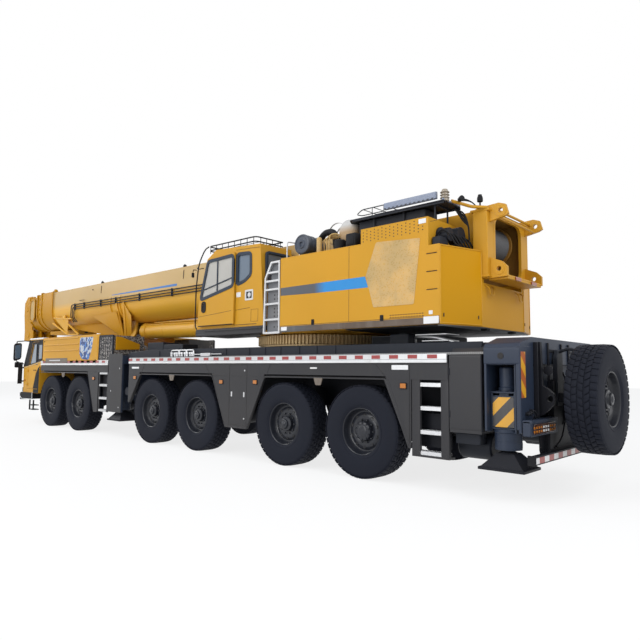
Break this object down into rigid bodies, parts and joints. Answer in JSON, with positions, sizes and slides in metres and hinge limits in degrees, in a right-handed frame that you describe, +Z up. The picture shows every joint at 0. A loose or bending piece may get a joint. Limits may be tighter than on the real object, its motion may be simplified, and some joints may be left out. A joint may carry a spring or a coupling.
{
  "type": "mobile crane",
  "caption": "Telescopic-boom mobile crane on a multi-axle wheeled carrier, with steering, doors, outriggers, slewing, luffing, telescoping and a winch.",
  "frame": {"origin": "floor, under the middle of the crane's overall length and width", "axes": "+X towards the driving cab and boom head, +Y to the crane's left, +Z up"},
  "size_m": [19.175, 3, 4.0598],
  "materials": {
    "crane_yellow": "gloss",
    "fender_grey": "satin",
    "chassis_black": "satin",
    "deck_grey": "chequer plate",
    "mesh_dark": "mesh",
    "ring_steel": "weathered",
    "engine_grey": "matte",
    "window_glass": "tinted",
    "seat_fabric": "matte",
    "tyre_rubber": "matte",
    "jack_steel": "satin",
    "ladder_aluminium": "satin",
    "winch_dark": "satin",
    "rod_chrome": "polished"
  },
  "bodies": {
    "carrier": {"carrier_frame": "chassis_black", "axle_beams": "chassis_black", "slew_ring": "ring_steel", "side_skirts": "fender_grey", "deck_plates": "deck_grey", "engine_hood": "crane_yellow", "engine_block": "engine_grey", "radiator": "mesh_dark", "front_cab_shell": "crane_yellow", "front_cab_glass": "window_glass", "front_cab_seats": "seat_fabric", "outrigger_boxes": "chassis_black", "toolboxes": "fender_grey", "carrier_ladders": "fender_grey", "spare_wheel": "tyre_rubber", "bumpers": "chassis_black"},
    "wheel_1_left": {"wheel_1_left": "tyre_rubber"},
    "knuckle_1_left": {"knuckle_1_left": "chassis_black"},
    "wheel_1_right": {"wheel_1_right": "tyre_rubber"},
    "knuckle_1_right": {"knuckle_1_right": "chassis_black"},
    "wheel_2_left": {"wheel_2_left": "tyre_rubber"},
    "knuckle_2_left": {"knuckle_2_left": "chassis_black"},
    "wheel_2_right": {"wheel_2_right": "tyre_rubber"},
    "knuckle_2_right": {"knuckle_2_right": "chassis_black"},
    "wheel_3_left": {"wheel_3_left": "tyre_rubber"},
    "wheel_3_right": {"wheel_3_right": "tyre_rubber"},
    "wheel_4_left": {"wheel_4_left": "tyre_rubber"},
    "wheel_4_right": {"wheel_4_right": "tyre_rubber"},
    "wheel_5_left": {"wheel_5_left": "tyre_rubber"},
    "wheel_5_right": {"wheel_5_right": "tyre_rubber"},
    "wheel_6_left": {"wheel_6_left": "tyre_rubber"},
    "knuckle_6_left": {"knuckle_6_left": "chassis_black"},
    "wheel_6_right": {"wheel_6_right": "tyre_rubber"},
    "knuckle_6_right": {"knuckle_6_right": "chassis_black"},
    "outrigger_beam_front_left": {"outrigger_beam_front_left": "fender_grey"},
    "outrigger_jack_front_left": {"outrigger_jack_front_left": "jack_steel"},
    "outrigger_beam_front_right": {"outrigger_beam_front_right": "fender_grey"},
    "outrigger_jack_front_right": {"outrigger_jack_front_right": "jack_steel"},
    "outrigger_beam_rear_left": {"outrigger_beam_rear_left": "fender_grey"},
    "outrigger_jack_rear_left": {"outrigger_jack_rear_left": "jack_steel"},
    "outrigger_beam_rear_right": {"outrigger_beam_rear_right": "fender_grey"},
    "outrigger_jack_rear_right": {"outrigger_jack_rear_right": "jack_steel"},
    "front_cab_door_left": {"front_cab_door_left": "crane_yellow"},
    "front_cab_door_right": {"front_cab_door_right": "crane_yellow"},
    "superstructure": {"turntable_frame": "crane_yellow", "machinery_housings": "crane_yellow", "tail_box": "crane_yellow", "operator_cab_shell": "crane_yellow", "operator_cab_glass": "window_glass", "operator_seat": "seat_fabric", "access_ladder": "ladder_aluminium"},
    "operator_door": {"operator_cab_door": "crane_yellow"},
    "winch": {"winch_drum": "winch_dark"},
    "boom": {"boom_base": "crane_yellow"},
    "boom_2": {"boom_section_2": "crane_yellow"},
    "boom_3": {"boom_section_3": "crane_yellow"},
    "boom_4": {"boom_section_4": "crane_yellow"},
    "luff_barrel": {"luffing_barrel": "crane_yellow"},
    "luff_rod": {"luffing_rod": "rod_chrome"}
  },
  "joints": [
    {"name": "steer_1_left", "type": "hinge", "parent": "carrier", "child": "knuckle_1_left", "pos_m": [4.5575, 1.1, 0.695], "axis": [0, 0, 1], "range_deg": [-26, 26]},
    {"name": "spin_1_left", "type": "hinge", "parent": "knuckle_1_left", "child": "wheel_1_left", "pos_m": [4.5575, 1.275, 0.695], "axis": [0, 1, 0], "continuous": true},
    {"name": "steer_1_right", "type": "hinge", "parent": "carrier", "child": "knuckle_1_right", "pos_m": [4.5575, -1.1, 0.695], "axis": [0, 0, 1], "range_deg": [-26, 26]},
    {"name": "spin_1_right", "type": "hinge", "parent": "knuckle_1_right", "child": "wheel_1_right", "pos_m": [4.5575, -1.275, 0.695], "axis": [0, 1, 0], "continuous": true},
    {"name": "steer_2_left", "type": "hinge", "parent": "carrier", "child": "knuckle_2_left", "pos_m": [2.9075, 1.1, 0.695], "axis": [0, 0, 1], "range_deg": [-21.3, 21.3]},
    {"name": "spin_2_left", "type": "hinge", "parent": "knuckle_2_left", "child": "wheel_2_left", "pos_m": [2.9075, 1.275, 0.695], "axis": [0, 1, 0], "continuous": true},
    {"name": "steer_2_right", "type": "hinge", "parent": "carrier", "child": "knuckle_2_right", "pos_m": [2.9075, -1.1, 0.695], "axis": [0, 0, 1], "range_deg": [-21.3, 21.3]},
    {"name": "spin_2_right", "type": "hinge", "parent": "knuckle_2_right", "child": "wheel_2_right", "pos_m": [2.9075, -1.275, 0.695], "axis": [0, 1, 0], "continuous": true},
    {"name": "spin_3_left", "type": "hinge", "parent": "carrier", "child": "wheel_3_left", "pos_m": [-0.5825, 1.275, 0.695], "axis": [0, 1, 0], "continuous": true},
    {"name": "spin_3_right", "type": "hinge", "parent": "carrier", "child": "wheel_3_right", "pos_m": [-0.5825, -1.275, 0.695], "axis": [0, 1, 0], "continuous": true},
    {"name": "spin_4_left", "type": "hinge", "parent": "carrier", "child": "wheel_4_left", "pos_m": [-2.2325, 1.275, 0.695], "axis": [0, 1, 0], "continuous": true},
    {"name": "spin_4_right", "type": "hinge", "parent": "carrier", "child": "wheel_4_right", "pos_m": [-2.2325, -1.275, 0.695], "axis": [0, 1, 0], "continuous": true},
    {"name": "spin_5_left", "type": "hinge", "parent": "carrier", "child": "wheel_5_left", "pos_m": [-4.7125, 1.275, 0.695], "axis": [0, 1, 0], "continuous": true},
    {"name": "spin_5_right", "type": "hinge", "parent": "carrier", "child": "wheel_5_right", "pos_m": [-4.7125, -1.275, 0.695], "axis": [0, 1, 0], "continuous": true},
    {"name": "steer_6_left", "type": "hinge", "parent": "carrier", "child": "knuckle_6_left", "pos_m": [-6.3625, 1.1, 0.695], "axis": [0, 0, 1], "range_deg": [-13.5, 13.5]},
    {"name": "spin_6_left", "type": "hinge", "parent": "knuckle_6_left", "child": "wheel_6_left", "pos_m": [-6.3625, 1.275, 0.695], "axis": [0, 1, 0], "continuous": true},
    {"name": "steer_6_right", "type": "hinge", "parent": "carrier", "child": "knuckle_6_right", "pos_m": [-6.3625, -1.1, 0.695], "axis": [0, 0, 1], "range_deg": [-13.5, 13.5]},
    {"name": "spin_6_right", "type": "hinge", "parent": "knuckle_6_right", "child": "wheel_6_right", "pos_m": [-6.3625, -1.275, 0.695], "axis": [0, 1, 0], "continuous": true},
    {"name": "extend_front_left", "type": "slide", "parent": "carrier", "child": "outrigger_beam_front_left", "axis": [0, 1, 0], "range_m": [0, 1.85]},
    {"name": "lower_front_left", "type": "slide", "parent": "outrigger_beam_front_left", "child": "outrigger_jack_front_left", "axis": [0, 0, -1], "range_m": [0, 0.6]},
    {"name": "extend_front_right", "type": "slide", "parent": "carrier", "child": "outrigger_beam_front_right", "axis": [0, -1, 0], "range_m": [0, 1.85]},
    {"name": "lower_front_right", "type": "slide", "parent": "outrigger_beam_front_right", "child": "outrigger_jack_front_right", "axis": [0, 0, -1], "range_m": [0, 0.6]},
    {"name": "extend_rear_left", "type": "slide", "parent": "carrier", "child": "outrigger_beam_rear_left", "axis": [0, 1, 0], "range_m": [0, 1.85]},
    {"name": "lower_rear_left", "type": "slide", "parent": "outrigger_beam_rear_left", "child": "outrigger_jack_rear_left", "axis": [0, 0, -1], "range_m": [0, 0.6]},
    {"name": "extend_rear_right", "type": "slide", "parent": "carrier", "child": "outrigger_beam_rear_right", "axis": [0, -1, 0], "range_m": [0, 1.85]},
    {"name": "lower_rear_right", "type": "slide", "parent": "outrigger_beam_rear_right", "child": "outrigger_jack_rear_right", "axis": [0, 0, -1], "range_m": [0, 0.6]},
    {"name": "cab_door_left", "type": "hinge", "parent": "carrier", "child": "front_cab_door_left", "pos_m": [6.2145, 1.486, 1.6], "axis": [0, 0, -1], "range_deg": [0, 68]},
    {"name": "cab_door_right", "type": "hinge", "parent": "carrier", "child": "front_cab_door_right", "pos_m": [6.2145, -1.486, 1.6], "axis": [0, 0, 1], "range_deg": [0, 68]},
    {"name": "slew", "type": "hinge", "parent": "carrier", "child": "superstructure", "pos_m": [-4.4125, 0, 2.13], "axis": [0, 0, 1], "continuous": true},
    {"name": "operator_door_slide", "type": "slide", "parent": "superstructure", "child": "operator_door", "axis": [-1, 0, 0], "range_m": [0, 0.74]},
    {"name": "winch_turn", "type": "hinge", "parent": "superstructure", "child": "winch", "pos_m": [-7.6125, 0, 3.6], "axis": [0, 1, 0], "continuous": true},
    {"name": "luff", "type": "hinge", "parent": "superstructure", "child": "boom", "pos_m": [-6.6625, 0, 3.45], "axis": [0, -1, 0], "range_deg": [0, 82]},
    {"name": "telescope_2", "type": "slide", "parent": "boom", "child": "boom_2", "axis": [1, 0, 0], "range_m": [0, 9.5]},
    {"name": "telescope_3", "type": "slide", "parent": "boom_2", "child": "boom_3", "axis": [1, 0, 0], "range_m": [0, 9.5]},
    {"name": "telescope_4", "type": "slide", "parent": "boom_3", "child": "boom_4", "axis": [1, 0, 0], "range_m": [0, 9.5]},
    {"name": "barrel_pivot", "type": "hinge", "parent": "superstructure", "child": "luff_barrel", "pos_m": [-3.2125, 0, 2.53], "axis": [0, -1, 0], "range_deg": [0, 96.74]},
    {"name": "rod_slide", "type": "slide", "parent": "luff_barrel", "child": "luff_rod", "axis": [0.9999, 0, 0.0145], "range_m": [0, 4.2515]}
  ],
  "couplings": [
    {"joint": "steer_1_right", "follows": "steer_1_left", "ratio": 1},
    {"joint": "steer_2_left", "follows": "steer_1_left", "ratio": 0.8},
    {"joint": "steer_2_right", "follows": "steer_1_left", "ratio": 0.8},
    {"joint": "steer_6_left", "follows": "steer_1_left", "ratio": -0.5},
    {"joint": "steer_6_right", "follows": "steer_1_left", "ratio": -0.5},
    {"joint": "telescope_3", "follows": "telescope_2", "ratio": 1},
    {"joint": "telescope_4", "follows": "telescope_2", "ratio": 1},
    {"joint": "barrel_pivot", "follows": "luff", "ratio": 1.1796},
    {"joint": "rod_slide", "follows": "luff", "m_per_rad": 2.9699}
  ]
}
